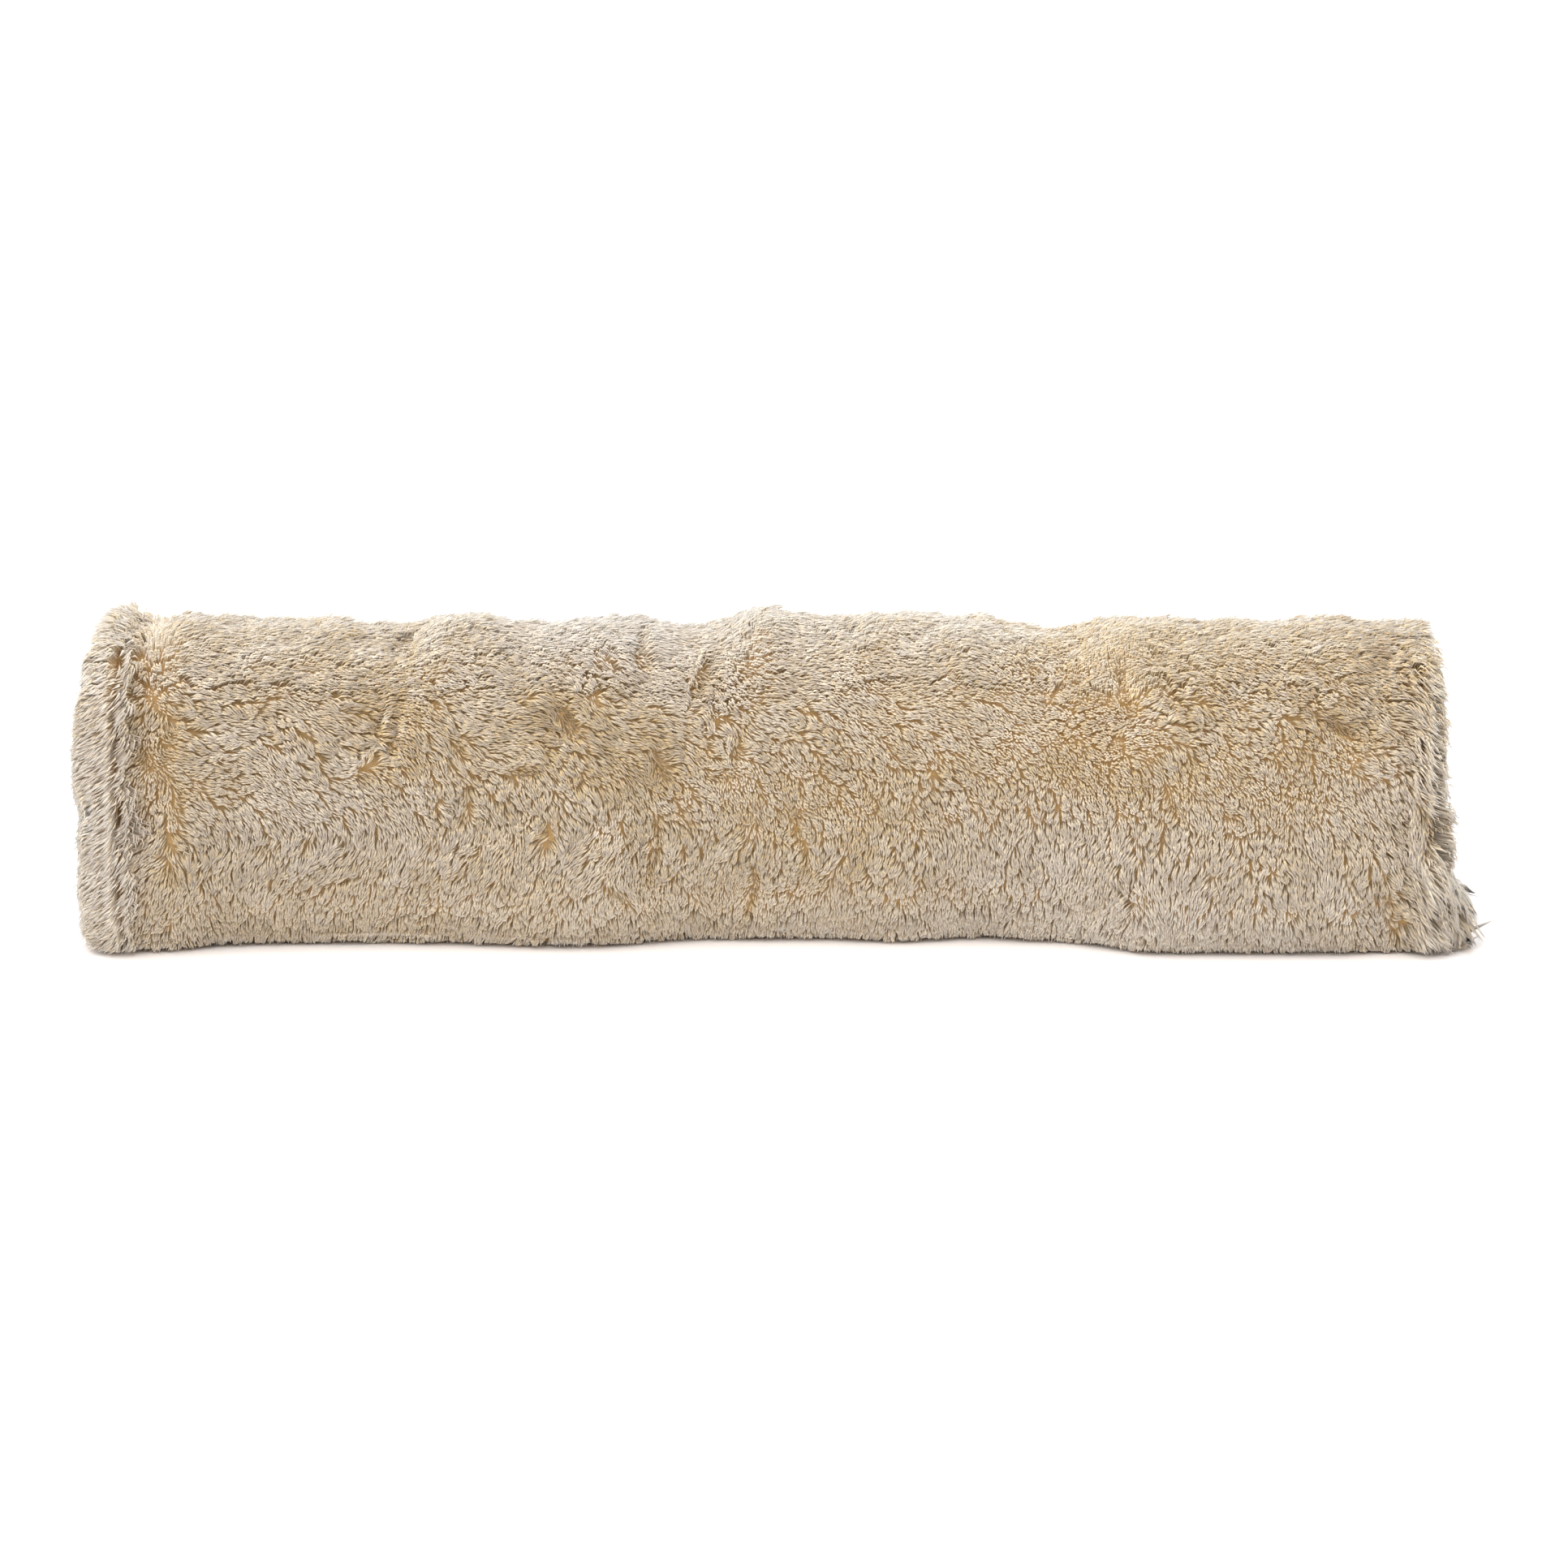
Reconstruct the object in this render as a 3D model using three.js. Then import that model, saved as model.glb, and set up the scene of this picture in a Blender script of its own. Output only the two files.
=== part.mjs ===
// Draught excluder in clipped sheepskin, lying on the floor along the foot of a door.
// A filled tube of sheepskin is closed at each end by a sewn-in end panel, whose wool fans out past the seam.
// Millimetres, +Z up. X runs along the length, the front faces -Y and the floor is Z = 0.
import * as THREE from 'three';
import { mergeVertices } from 'three/addons/utils/BufferGeometryUtils.js';

// Driving dimensions, all measured over the wool.
const HEIGHT = 202;
const DEPTH = 158;
const WAIST = 84; // height of the widest place, where the filling settles
const SUNK = 20; // how much of the round underside the floor flattens
const SQUARENESS = 2.6; // 2 is an ellipse, and more is boxier
const LEFT_SEAM = -412; // X of the seams between the tube and its end panels
const RIGHT_SEAM = 410;
const SEAM_GAP = 0.3;

// The wool's relief: clumps of locks that overlap like shingles, and the hollow that each end seam draws in.
const CLUMP_PITCH = 34;
const CLUMP_RISE = 4.5;
const CLUMP_LEAN = { right: 0.5, down: 0.35 }; // how much higher a clump stands towards its tips
const CLUMP_SCATTER = 0.38; // how far a clump's centre strays, as a share of the pitch
const CLUMP_MEAN = 0.4; // mean distance from a clump's centre, as a share of the pitch
const SEAM_HOLLOW = { inset: 20, halfWidth: 11 };
const FLOOR_BLEND = 24; // the relief fades out over this height, so that the underside stays flat

// Mesh fineness.
const AROUND = 56;
const TUBE_STEPS = 72;
const PANEL_STEPS = 14;

// How the tube bows and fills out along its length. toe is how far its lower front edge swells forward.
const SECTIONS = [
  { x: -450, forward: 10, toe: 7, fullness: 1.03 },
  { x: -390, forward: 9, toe: 7, fullness: 1.025 },
  { x: -335, forward: 4, toe: -7, fullness: 1.005 },
  { x: -245, forward: 2, toe: -7, fullness: 0.985 },
  { x: -205, forward: 2, toe: -6, fullness: 1.005 },
  { x: -150, forward: 3, toe: 2, fullness: 0.98 },
  { x: -110, forward: 2, toe: 2, fullness: 1.0 },
  { x: -45, forward: -5, toe: -9, fullness: 0.975 },
  { x: -8, forward: -6, toe: -9, fullness: 1.015 },
  { x: 35, forward: -7, toe: -8, fullness: 0.99 },
  { x: 80, forward: -8, toe: 1, fullness: 1.0 },
  { x: 130, forward: -10, toe: -7, fullness: 0.995 },
  { x: 180, forward: -6, toe: -2, fullness: 0.972 },
  { x: 245, forward: 9, toe: 14, fullness: 0.995 },
  { x: 280, forward: 12, toe: 11, fullness: 0.995 },
  { x: 360, forward: 14, toe: 9, fullness: 1.005 },
  { x: 410, forward: 14, toe: 7, fullness: 0.992 },
  { x: 450, forward: 14, toe: 6, fullness: 0.985 },
];
const TOE_HEIGHT = 110;

// Hollows, partings and humps in the wool. turn is degrees round the section: 0 is the front, 90 the crown.
// along and round are half widths, and a negative depth is a hump.
const DENTS = [
  { x: -330, turn: 88, along: 30, round: 40, depth: 3 },
  { x: -249, turn: 24, along: 13, round: 30, depth: 7 },
  { x: -244, turn: 84, along: 26, round: 45, depth: 5 },
  { x: -192, turn: 84, along: 26, round: 32, depth: -3 },
  { x: -138, turn: 27, along: 18, round: 13, depth: 6 },
  { x: -130, turn: -30, along: 42, round: 40, depth: -3 },
  { x: -79, turn: -2, along: 10, round: 30, depth: 6 },
  { x: -47, turn: 84, along: 24, round: 42, depth: 5 },
  { x: -15, turn: -18, along: 9, round: 26, depth: 5 },
  { x: -8, turn: 80, along: 16, round: 34, depth: -4 },
  { x: 16, turn: -2, along: 10, round: 24, depth: 5 },
  { x: 68, turn: 88, along: 13, round: 24, depth: -4 },
  { x: 130, turn: -45, along: 13, round: 15, depth: 4 },
  { x: 185, turn: 86, along: 40, round: 42, depth: 3 },
  { x: 225, turn: 20, along: 60, round: 40, depth: -3 },
  { x: 290, turn: -25, along: 80, round: 55, depth: -3 },
  { x: 363, turn: 25, along: 20, round: 13, depth: 6 },
  { x: 390, turn: -40, along: 13, round: 34, depth: 10 },
];

// The end panels. reach is how far the wool stands past the seam, hollow how deep the seam draws the tube in,
// squareness shapes the dome seen from the side, and an ear is a corner that flares further or is drawn in.
const PANELS = [
  {
    name: 'end_panel_left',
    side: -1,
    seam: LEFT_SEAM,
    reach: 27,
    hollow: 5,
    squareness: 4.6,
    ears: [
      { turn: 88, spread: 34, extra: -9 },
      { turn: 28, spread: 20, extra: 5 },
      { turn: -45, spread: 22, extra: 3 },
    ],
  },
  {
    name: 'end_panel_right',
    side: 1,
    seam: RIGHT_SEAM,
    reach: 16,
    hollow: 2,
    squareness: 4.6,
    ears: [
      { turn: -62, spread: 32, extra: 26 },
      { turn: 90, spread: 40, extra: -5 },
    ],
  },
];

const WOOL = { color: 0xbeac94, roughness: 1, metalness: 0 };

// A repeatable scatter between -1 and 1 for a cell of a grid, different for each salt.
function scatter(column, row, salt) {
  const wave = Math.sin(column * 127.1 + row * 311.7 + salt * 74.7) * 43758.5453;
  return 2 * (wave - Math.floor(wave)) - 1;
}

// One column of SECTIONS at any X, easing from row to row.
function along(column, x) {
  const next = SECTIONS.findIndex((row) => row.x > x);
  const [before, after] = [SECTIONS[next - 1], SECTIONS[next]];
  const share = THREE.MathUtils.smoothstep(x, before.x, after.x);
  return THREE.MathUtils.lerp(before[column], after[column], share);
}

// The plain section at an angle round it: a squared oval that the floor flattens underneath.
function sectionAt(angle) {
  const [c, s] = [Math.cos(angle), Math.sin(angle)];
  const power = 2 / SQUARENESS;
  const rise = s > 0 ? HEIGHT - WAIST : WAIST + SUNK;
  const across = (-DEPTH / 2) * Math.sign(c) * Math.abs(c) ** power;
  const up = WAIST + rise * Math.sign(s) * Math.abs(s) ** power;
  return new THREE.Vector2(across, Math.max(0, up));
}

// The same section as a closed path, so that points round it can be spaced evenly.
const FINE_STEPS = 720;
const sectionPath = new THREE.Path(
  Array.from({ length: FINE_STEPS + 1 }, (_, i) => sectionAt((2 * Math.PI * i) / FINE_STEPS)),
);
const GIRTH = sectionPath.getLength();
const CLUMPS_ROUND = Math.round(GIRTH / CLUMP_PITCH);

// Clumps of locks: each swells round a centre that is scattered off a plain grid of cells, and stands highest
// towards its tips, where lean points. The grid closes on itself after cellsRound cells.
function clumpRise(column, row, lean, cellsRound) {
  let nearest = { far: Infinity, tipward: 0 };
  for (let i = Math.floor(column) - 1; i <= Math.floor(column) + 1; i++) {
    for (let j = Math.floor(row) - 1; j <= Math.floor(row) + 1; j++) {
      const wrapped = (j + cellsRound) % cellsRound;
      const right = column - (i + 0.5 + CLUMP_SCATTER * scatter(i, wrapped, 1));
      const round = row - (j + 0.5 + CLUMP_SCATTER * scatter(i, wrapped, 2));
      const far = Math.hypot(right, round);
      if (far < nearest.far) nearest = { far, tipward: lean.right * right + lean.round * round };
    }
  }
  return CLUMP_RISE * (CLUMP_MEAN - nearest.far + nearest.tipward);
}

function tubeClumps(x, flat, turnShare) {
  const downward = flat.x < 0 ? -1 : 1;
  const lean = { right: CLUMP_LEAN.right, round: CLUMP_LEAN.down * downward };
  return clumpRise(x / CLUMP_PITCH, turnShare * CLUMPS_ROUND, lean, CLUMPS_ROUND);
}

function panelClumps(y, z) {
  const lean = { right: 0, round: -CLUMP_LEAN.down };
  return clumpRise(y / CLUMP_PITCH, z / CLUMP_PITCH, lean, CLUMPS_ROUND);
}

// How far the wool's surface stands off the plain section, in the section's own plane.
function relief(x, flat, turnShare) {
  let rise = tubeClumps(x, flat, turnShare);
  for (const dent of DENTS) {
    const centre = sectionAt(THREE.MathUtils.degToRad(dent.turn));
    const far = Math.hypot((x - dent.x) / dent.along, flat.distanceTo(centre) / dent.round);
    rise -= dent.depth * Math.exp(-far * far);
  }
  for (const { seam, side, hollow } of PANELS) {
    const far = (x - (seam - side * SEAM_HOLLOW.inset)) / SEAM_HOLLOW.halfWidth;
    rise -= hollow * Math.exp(-far * far);
  }
  return rise * THREE.MathUtils.smoothstep(flat.y, 0, FLOOR_BLEND);
}

// A point of the wool's surface: x along the tube, a share of the way round, and a share out from the middle.
function woolPoint(x, turnShare, outShare) {
  const flat = sectionPath.getPointAt(turnShare);
  const heading = sectionPath.getTangentAt(turnShare);
  const rise = relief(x, flat, turnShare);
  const fullness = along('fullness', x);
  const toe = along('toe', x) * (1 - THREE.MathUtils.smoothstep(flat.y, 0, TOE_HEIGHT));
  const front = THREE.MathUtils.smoothstep(-flat.x, 0, DEPTH / 2);
  const y = (flat.x - heading.y * rise - toe * front) * fullness;
  const z = (flat.y + heading.x * rise) * fullness;
  const middle = WAIST * fullness;
  return new THREE.Vector3(
    x,
    y * outShare - along('forward', x),
    Math.max(0, middle + (z - middle) * outShare),
  );
}

// Turns a lathed blank into wool: place(out, along, turnShare) says where each of its points goes.
function shapeBlank(profile, place) {
  const blank = new THREE.LatheGeometry(profile, AROUND);
  blank.deleteAttribute('normal');
  blank.deleteAttribute('uv');
  const points = blank.getAttribute('position');
  const at = new THREE.Vector3();
  for (let i = 0; i < points.count; i++) {
    at.fromBufferAttribute(points, i);
    const step = Math.round((Math.atan2(at.x, at.z) / (2 * Math.PI)) * AROUND);
    const turnShare = ((AROUND - step) % AROUND) / AROUND;
    const moved = place(Math.hypot(at.x, at.z), at.y, turnShare);
    points.setXYZ(i, moved.x, moved.y, moved.z);
  }
  return mergeVertices(blank, 1e-3);
}

function makeTube() {
  const ends = [0, 0.5];
  const profile = [
    ...ends.map((out) => new THREE.Vector2(out, 0)),
    ...Array.from({ length: TUBE_STEPS + 1 }, (_, i) => new THREE.Vector2(1, i / TUBE_STEPS)),
    ...ends.reverse().map((out) => new THREE.Vector2(out, 1)),
  ];
  return shapeBlank(profile, (out, share, turnShare) =>
    woolPoint(THREE.MathUtils.lerp(LEFT_SEAM, RIGHT_SEAM, share), turnShare, out),
  );
}

// How far an end panel reaches past its seam at an angle round it. The ears show near the rim only.
function panelReach(panel, out, degrees) {
  let reach = panel.reach;
  for (const ear of panel.ears) {
    const apart = ((degrees - ear.turn + 540) % 360) - 180;
    const share = Math.exp(-((apart / ear.spread) ** 2));
    reach += ear.extra * share * THREE.MathUtils.smoothstep(out, 0.2, 0.85);
  }
  return reach;
}

// Degrees round the section of a point that is given as a share of the girth.
function degreesAt(turnShare) {
  const flat = sectionPath.getPointAt(turnShare);
  return THREE.MathUtils.radToDeg(Math.atan2((flat.y - WAIST) / HEIGHT, -flat.x / DEPTH));
}

function panelPoint(panel, out, share, turnShare) {
  const { side, seam } = panel;
  const at = woolPoint(seam, turnShare, out);
  const clumps = panelClumps(at.y, at.z) * THREE.MathUtils.smoothstep(out, 0, 0.4);
  const reach = panelReach(panel, out, degreesAt(turnShare)) + clumps;
  at.x += side * (SEAM_GAP + share * reach);
  return at;
}

// A panel's outline from its middle at the seam, round the rim and over the dome: x is the share out, y the reach.
function panelProfile(squareness) {
  const quarter = Array.from({ length: FINE_STEPS / 4 + 1 }, (_, i) => {
    const angle = (2 * Math.PI * i) / FINE_STEPS;
    const power = 2 / squareness;
    return new THREE.Vector2(Math.cos(angle) ** power, Math.sin(angle) ** power);
  });
  const dome = new THREE.Path(quarter).getSpacedPoints(PANEL_STEPS);
  dome[PANEL_STEPS].x = 0;
  return [new THREE.Vector2(0, 0), new THREE.Vector2(0.5, 0), ...dome];
}

function makePanel(panel) {
  const profile = panelProfile(panel.squareness);
  if (panel.side < 0) profile.reverse();
  return shapeBlank(profile, (out, share, turnShare) => panelPoint(panel, out, share, turnShare));
}

function woolMesh(name, geometry) {
  geometry.computeVertexNormals();
  const mesh = new THREE.Mesh(geometry, new THREE.MeshStandardMaterial(WOOL));
  mesh.name = name;
  return mesh;
}

const excluder = new THREE.Group();
excluder.add(woolMesh('tube', makeTube()));
for (const panel of PANELS) {
  excluder.add(woolMesh(panel.name, makePanel(panel)));
}

// The origin is on the floor, under the middle of the whole part.
const box = new THREE.Box3().setFromObject(excluder);
const middle = box.getCenter(new THREE.Vector3());
for (const mesh of excluder.children) {
  mesh.geometry.translate(-middle.x, -middle.y, -box.min.z);
}

export default excluder;
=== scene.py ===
# %% [markdown]
# # A draught excluder in clipped sheepskin
#
# The object is a long filled tube of sheepskin that lies along the foot of a door. Its two ends are closed
# by sewn-in panels of the same skin. Everything that shows is wool, clipped to about a finger's width, in
# pale beige tufts with ochre depths.
#
# The CAD frame gives three solids, whose surface is the outside of the wool. This script builds a filled
# skin inside each solid and grows wool from it, as mesh, out to the solid's surface.

# %% Load the frame
import math
from collections import namedtuple

import bpy
import numpy as np
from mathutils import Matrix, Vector, bvhtree, kdtree


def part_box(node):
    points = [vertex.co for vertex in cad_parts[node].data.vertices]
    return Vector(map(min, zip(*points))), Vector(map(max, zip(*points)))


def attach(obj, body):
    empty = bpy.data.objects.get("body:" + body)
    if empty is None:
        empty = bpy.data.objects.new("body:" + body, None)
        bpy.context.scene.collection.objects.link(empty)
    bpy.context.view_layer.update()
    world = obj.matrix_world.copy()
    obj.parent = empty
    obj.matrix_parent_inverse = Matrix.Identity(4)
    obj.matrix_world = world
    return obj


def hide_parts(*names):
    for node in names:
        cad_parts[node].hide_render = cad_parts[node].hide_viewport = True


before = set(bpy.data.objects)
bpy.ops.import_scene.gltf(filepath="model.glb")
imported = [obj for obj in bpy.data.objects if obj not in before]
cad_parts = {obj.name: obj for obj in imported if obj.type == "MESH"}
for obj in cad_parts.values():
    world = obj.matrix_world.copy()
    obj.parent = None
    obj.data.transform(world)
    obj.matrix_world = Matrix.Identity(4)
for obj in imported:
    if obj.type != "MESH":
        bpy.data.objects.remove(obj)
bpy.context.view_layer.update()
MM = 0.001

# %% [markdown]
# ## The camera
#
# The photograph looks at the long front from a little above, with a long lens and no tilt to the side. The
# image is 1932 pixels square, and one of its pixels is about half a millimetre at the object. A camera that
# stands 3.2 metres away and aims close to the middle of the tube gives the same outline.

# %% Camera
IMAGE_SIDE_PX = 1932
MM_PER_PX = 0.5236
CAMERA_DISTANCE = 3.2
CAMERA_ELEVATION = math.radians(13)
CAMERA_AIM = Vector((5, 0, 94.5)) * MM
SENSOR_WIDTH_MM = 36.0
VIEW_DEPTH = 100

scene = bpy.context.scene
camera_data = bpy.data.cameras.new("photo_camera")
camera_data.sensor_width = SENSOR_WIDTH_MM
camera_data.lens = SENSOR_WIDTH_MM * CAMERA_DISTANCE / (IMAGE_SIDE_PX * MM_PER_PX * MM)
camera_data.clip_end = VIEW_DEPTH
camera = bpy.data.objects.new("photo_camera", camera_data)
away = Vector((0, -math.cos(CAMERA_ELEVATION), math.sin(CAMERA_ELEVATION)))
camera.location = CAMERA_AIM + away * CAMERA_DISTANCE
camera.rotation_euler = away.to_track_quat("Z", "Y").to_euler()
scene.collection.objects.link(camera)
scene.camera = camera
print("lens in mm:", round(camera_data.lens, 1))

# %% [markdown]
# ## Colours and nodes
#
# Colours are picked as sRGB hex values, because that is what a screen shows, and turned to the linear
# values that shaders work in. One small function adds a node with its settings and links, so that each
# material below reads as a list of what it is made of.


# %% Helpers for materials
def linear(hex_colour):
    """The linear values of a colour, by the curve that the sRGB standard gives."""
    parts = [int(hex_colour[i : i + 2], 16) / 255 for i in (1, 3, 5)]
    return [c / 12.92 if c <= 0.04045 else ((c + 0.055) / 1.055) ** 2.4 for c in parts] + [1.0]


def add_node(material, kind, inputs=None, **settings):
    """Adds a node. Inputs go by name or number: a socket gets linked, and any other value is set."""
    node = material.node_tree.nodes.new(kind)
    for name, value in settings.items():
        setattr(node, name, value)
    for name, value in (inputs or {}).items():
        if isinstance(value, bpy.types.NodeSocket):
            material.node_tree.links.new(value, node.inputs[name])
        else:
            node.inputs[name].default_value = value
    return node


def new_material(name):
    material = bpy.data.materials.new(name)
    material.use_nodes = True
    material.node_tree.nodes.clear()
    return material


print("mid grey in linear values:", [round(c, 3) for c in linear("#808080")])

# %% [markdown]
# ## The floor
#
# The photograph is a studio picture on white, without a horizon. A plain white plane would do, but it would
# have to reach far enough for its edge to stay out of sight. This one is 40 metres wide.

# %% Floor
FLOOR_SIDE = 40.0
PAINT_PATCH = 0.5


def matt_white_floor_paint():
    # Matt white studio paint: no gloss, and a faint unevenness that keeps it from looking computed.
    material = new_material("matt_white_floor_paint")
    place = add_node(material, "ShaderNodeTexCoord")
    patches = add_node(
        material,
        "ShaderNodeTexNoise",
        {"Vector": place.outputs["Object"], "Scale": 1 / PAINT_PATCH, "Detail": 2.0},
    )
    tone = add_node(
        material,
        "ShaderNodeMix",
        {"Factor": patches.outputs["Fac"], "A": linear("#f3f3f3"), "B": linear("#f6f6f6")},
        data_type="RGBA",
    )
    paint = add_node(
        material,
        "ShaderNodeBsdfPrincipled",
        {"Base Color": tone.outputs["Result"], "Roughness": 0.9, "Specular IOR Level": 0.1},
    )
    add_node(material, "ShaderNodeOutputMaterial", {"Surface": paint.outputs["BSDF"]})
    return material


bpy.ops.mesh.primitive_grid_add(x_subdivisions=4, y_subdivisions=4, size=FLOOR_SIDE)
floor = bpy.context.object
floor.name = "studio_floor"
floor.data.materials.append(matt_white_floor_paint())
print("floor side in metres:", FLOOR_SIDE)

# %% [markdown]
# ## The light
#
# The light is soft and comes from all round, a little more from above and in front. The tube's crown is
# lighter than its belly, and only a faint shadow lies at its foot. Large lamps close by would do that, but
# they would leave the far floor grey. An even white world and one very wide, soft sun lamp keep the floor
# white to its edge.

# %% Light
LIGHT_FROM = Vector((-0.3, -0.6, 1.0))
LIGHT_STRENGTH = 2.5
LIGHT_WIDTH = math.radians(80)
WORLD_STRENGTH = 1.03

world = bpy.data.worlds.new("white_studio")
world.use_nodes = True
world.node_tree.nodes["Background"].inputs["Color"].default_value = (1, 1, 1, 1)
world.node_tree.nodes["Background"].inputs["Strength"].default_value = WORLD_STRENGTH
scene.world = world
light_data = bpy.data.lights.new("wide_soft_light", "SUN")
light_data.energy = LIGHT_STRENGTH
light_data.angle = LIGHT_WIDTH
light = bpy.data.objects.new("wide_soft_light", light_data)
light.rotation_euler = LIGHT_FROM.to_track_quat("Z", "Y").to_euler()
scene.collection.objects.link(light)
scene.view_settings.view_transform = "Standard"
print("light comes from", [round(v, 2) for v in LIGHT_FROM.normalized()])

# %% [markdown]
# ## The filled skins
#
# Under the wool is the skin itself, sewn up and filled. It could be a plain offset of the solid, but filling
# makes a skin swell between its seams. So each solid is copied, remeshed to even squares and drawn in by
# the depth of the pile, and then blown up a little by a cloth simulation with pressure. How far a point may
# move is capped, so that some pile is left everywhere.
#
# First come the helpers. Two read and set the points of a mesh as arrays, which is far quicker than point by
# point, and one gives a piece the mesh that its modifiers make.


# %% Helpers for meshes
def points_of(mesh, what="co"):
    """A mesh's points, or what else its points have three numbers for, one to a row."""
    flat = np.empty(len(mesh.vertices) * 3, np.float32)
    mesh.vertices.foreach_get(what, flat)
    return flat.reshape(-1, 3).astype(float)


def set_points(mesh, points):
    mesh.vertices.foreach_set("co", points.astype(np.float32).ravel())
    mesh.update()


def apply_modifiers(piece):
    graph = bpy.context.evaluated_depsgraph_get()
    made = bpy.data.meshes.new_from_object(piece.evaluated_get(graph), depsgraph=graph)
    piece.modifiers.clear()
    piece.data = made


print("points of the tube's solid:", len(points_of(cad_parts["tube"].data)))

# %% [markdown]
# The end panels are sewn to the tube along two rims. There two skins share a wall, which isn't drawn in and
# doesn't swell, so that no gap opens between them.

# %% Find the seams
SEAM_REACH = 14 * MM
SEAMS = {"left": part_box("tube")[0].x, "right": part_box("tube")[1].x}


def near_seam(points):
    """1 at a seam, falling to 0 at SEAM_REACH from it."""
    gap = np.min([np.abs(points[:, 0] - x) for x in SEAMS.values()], axis=0)
    return np.clip(1 - gap / SEAM_REACH, 0, 1)


def facing_seam(points, normals, node):
    """The share of each normal, along X, that faces across a near seam to the neighbouring skin."""
    outward = np.sign(points[:, 0]) * (1 if node == "tube" else -1)
    return outward * np.maximum(0, outward * normals[:, 0]) * np.sqrt(near_seam(points))


print("seams at x in mm:", {side: round(x / MM, 1) for side, x in SEAMS.items()})

# %% [markdown]
# The pile is about a centimetre deep. Underneath, where the weight lies on it, it is squashed, and the skin
# is nearly at the floor.

# %% Draw in a skin
PILE_DEPTH = 9.5 * MM
SQUASHED_PILE = 1.5 * MM
UNDERSIDE_STARTS = 0.85
UNDERSIDE_BLEND = 0.12


def drawn_in(points, normals, node):
    under = np.clip((-normals[:, 2] - UNDERSIDE_STARTS) / UNDERSIDE_BLEND, 0, 1)
    depth = PILE_DEPTH * (1 - under) + SQUASHED_PILE * under
    moves = normals.copy()
    moves[:, 0] -= facing_seam(points, normals, node)
    return points - moves * depth[:, None]


print("pile in mm, and underneath:", [round(v / MM, 1) for v in (PILE_DEPTH, SQUASHED_PILE)])

# %% [markdown]
# Pressure in a cloth simulation pushes outward all over, as filling does, and the cloth's own pull holds it
# back. Only the move straight out of the skin is kept, and it is capped, so that the wool keeps its room.

# %% Fill a skin
SWELL_OUT = 3 * MM
SWELL_IN = 1 * MM
SWELL_FRAMES = 20
PRESSURE = 4.0


def swell(piece, seam_walls):
    """Blows a skin up by cloth pressure, within the caps, and returns how far each point moved."""
    before, normals = points_of(piece.data), points_of(piece.data, "normal")
    cloth = piece.modifiers.new("filling", "CLOTH")
    cloth.settings.use_pressure = True
    cloth.settings.uniform_pressure_force = PRESSURE
    cloth.settings.effector_weights.gravity = 0
    cloth.point_cache.frame_end = SWELL_FRAMES
    for step in range(1, SWELL_FRAMES + 1):
        scene.frame_set(step)
    apply_modifiers(piece)
    scene.frame_set(1)
    outward = ((points_of(piece.data) - before) * normals).sum(axis=1)
    outward = np.where(seam_walls, 0, np.clip(outward, -SWELL_IN, SWELL_OUT))
    after = before + normals * outward[:, None]
    after[:, 2] = np.maximum(after[:, 2], SQUASHED_PILE)
    set_points(piece.data, after)
    return outward


print("the filling moves a skin in and out, in mm, by at most:", [v / MM for v in (SWELL_IN, SWELL_OUT)])

# %% [markdown]
# A cloth needs faces of even size, so the copy of a solid is welded and remeshed first. The skin then stands
# for its solid.

# %% Make the three skins
SAME_POINT = 0.01 * MM
VOXEL = 6 * MM
SEAM_WALL = 0.5


def filled_skin(name, node):
    piece = bpy.data.objects.new(name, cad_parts[node].data.copy())
    piece.data.materials.clear()
    scene.collection.objects.link(piece)
    weld = piece.modifiers.new("weld", "WELD")
    weld.merge_threshold = SAME_POINT
    remesh = piece.modifiers.new("even_squares", "REMESH")
    remesh.mode = "VOXEL"
    remesh.voxel_size = VOXEL
    apply_modifiers(piece)
    points, normals = points_of(piece.data), points_of(piece.data, "normal")
    seam_walls = np.abs(facing_seam(points, normals, node)) > SEAM_WALL
    set_points(piece.data, drawn_in(points, normals, node))
    outward = swell(piece, seam_walls)
    print(name, "swells by, in mm:", [round(v / MM, 1) for v in (outward.min(), outward.max())])
    piece.data.polygons.foreach_set("use_smooth", np.ones(len(piece.data.polygons), bool))
    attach(piece, "root")
    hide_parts(node)
    print(name, "faces:", len(piece.data.polygons))
    return piece


skins = {
    "tube": filled_skin("tube_skin", "tube"),
    "end_panel_left": filled_skin("end_skin_left", "end_panel_left"),
    "end_panel_right": filled_skin("end_skin_right", "end_panel_right"),
}

# %% [markdown]
# ## Where the wool grows
#
# Wool grows close and evenly, but on no grid. Points thrown at random would clot, so many are thrown, and
# each one that is kept drives off its near neighbours. The random numbers have a seed, so that each run
# gives the same wool.

# %% Throw points on a skin
STRAND_SPACING = 1.17 * MM
THROWS_PER_STRAND = 6
TINY = 1e-9
dice = np.random.default_rng(7)


def unit(vectors):
    return vectors / np.maximum(np.linalg.norm(vectors, axis=1, keepdims=True), TINY)


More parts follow.
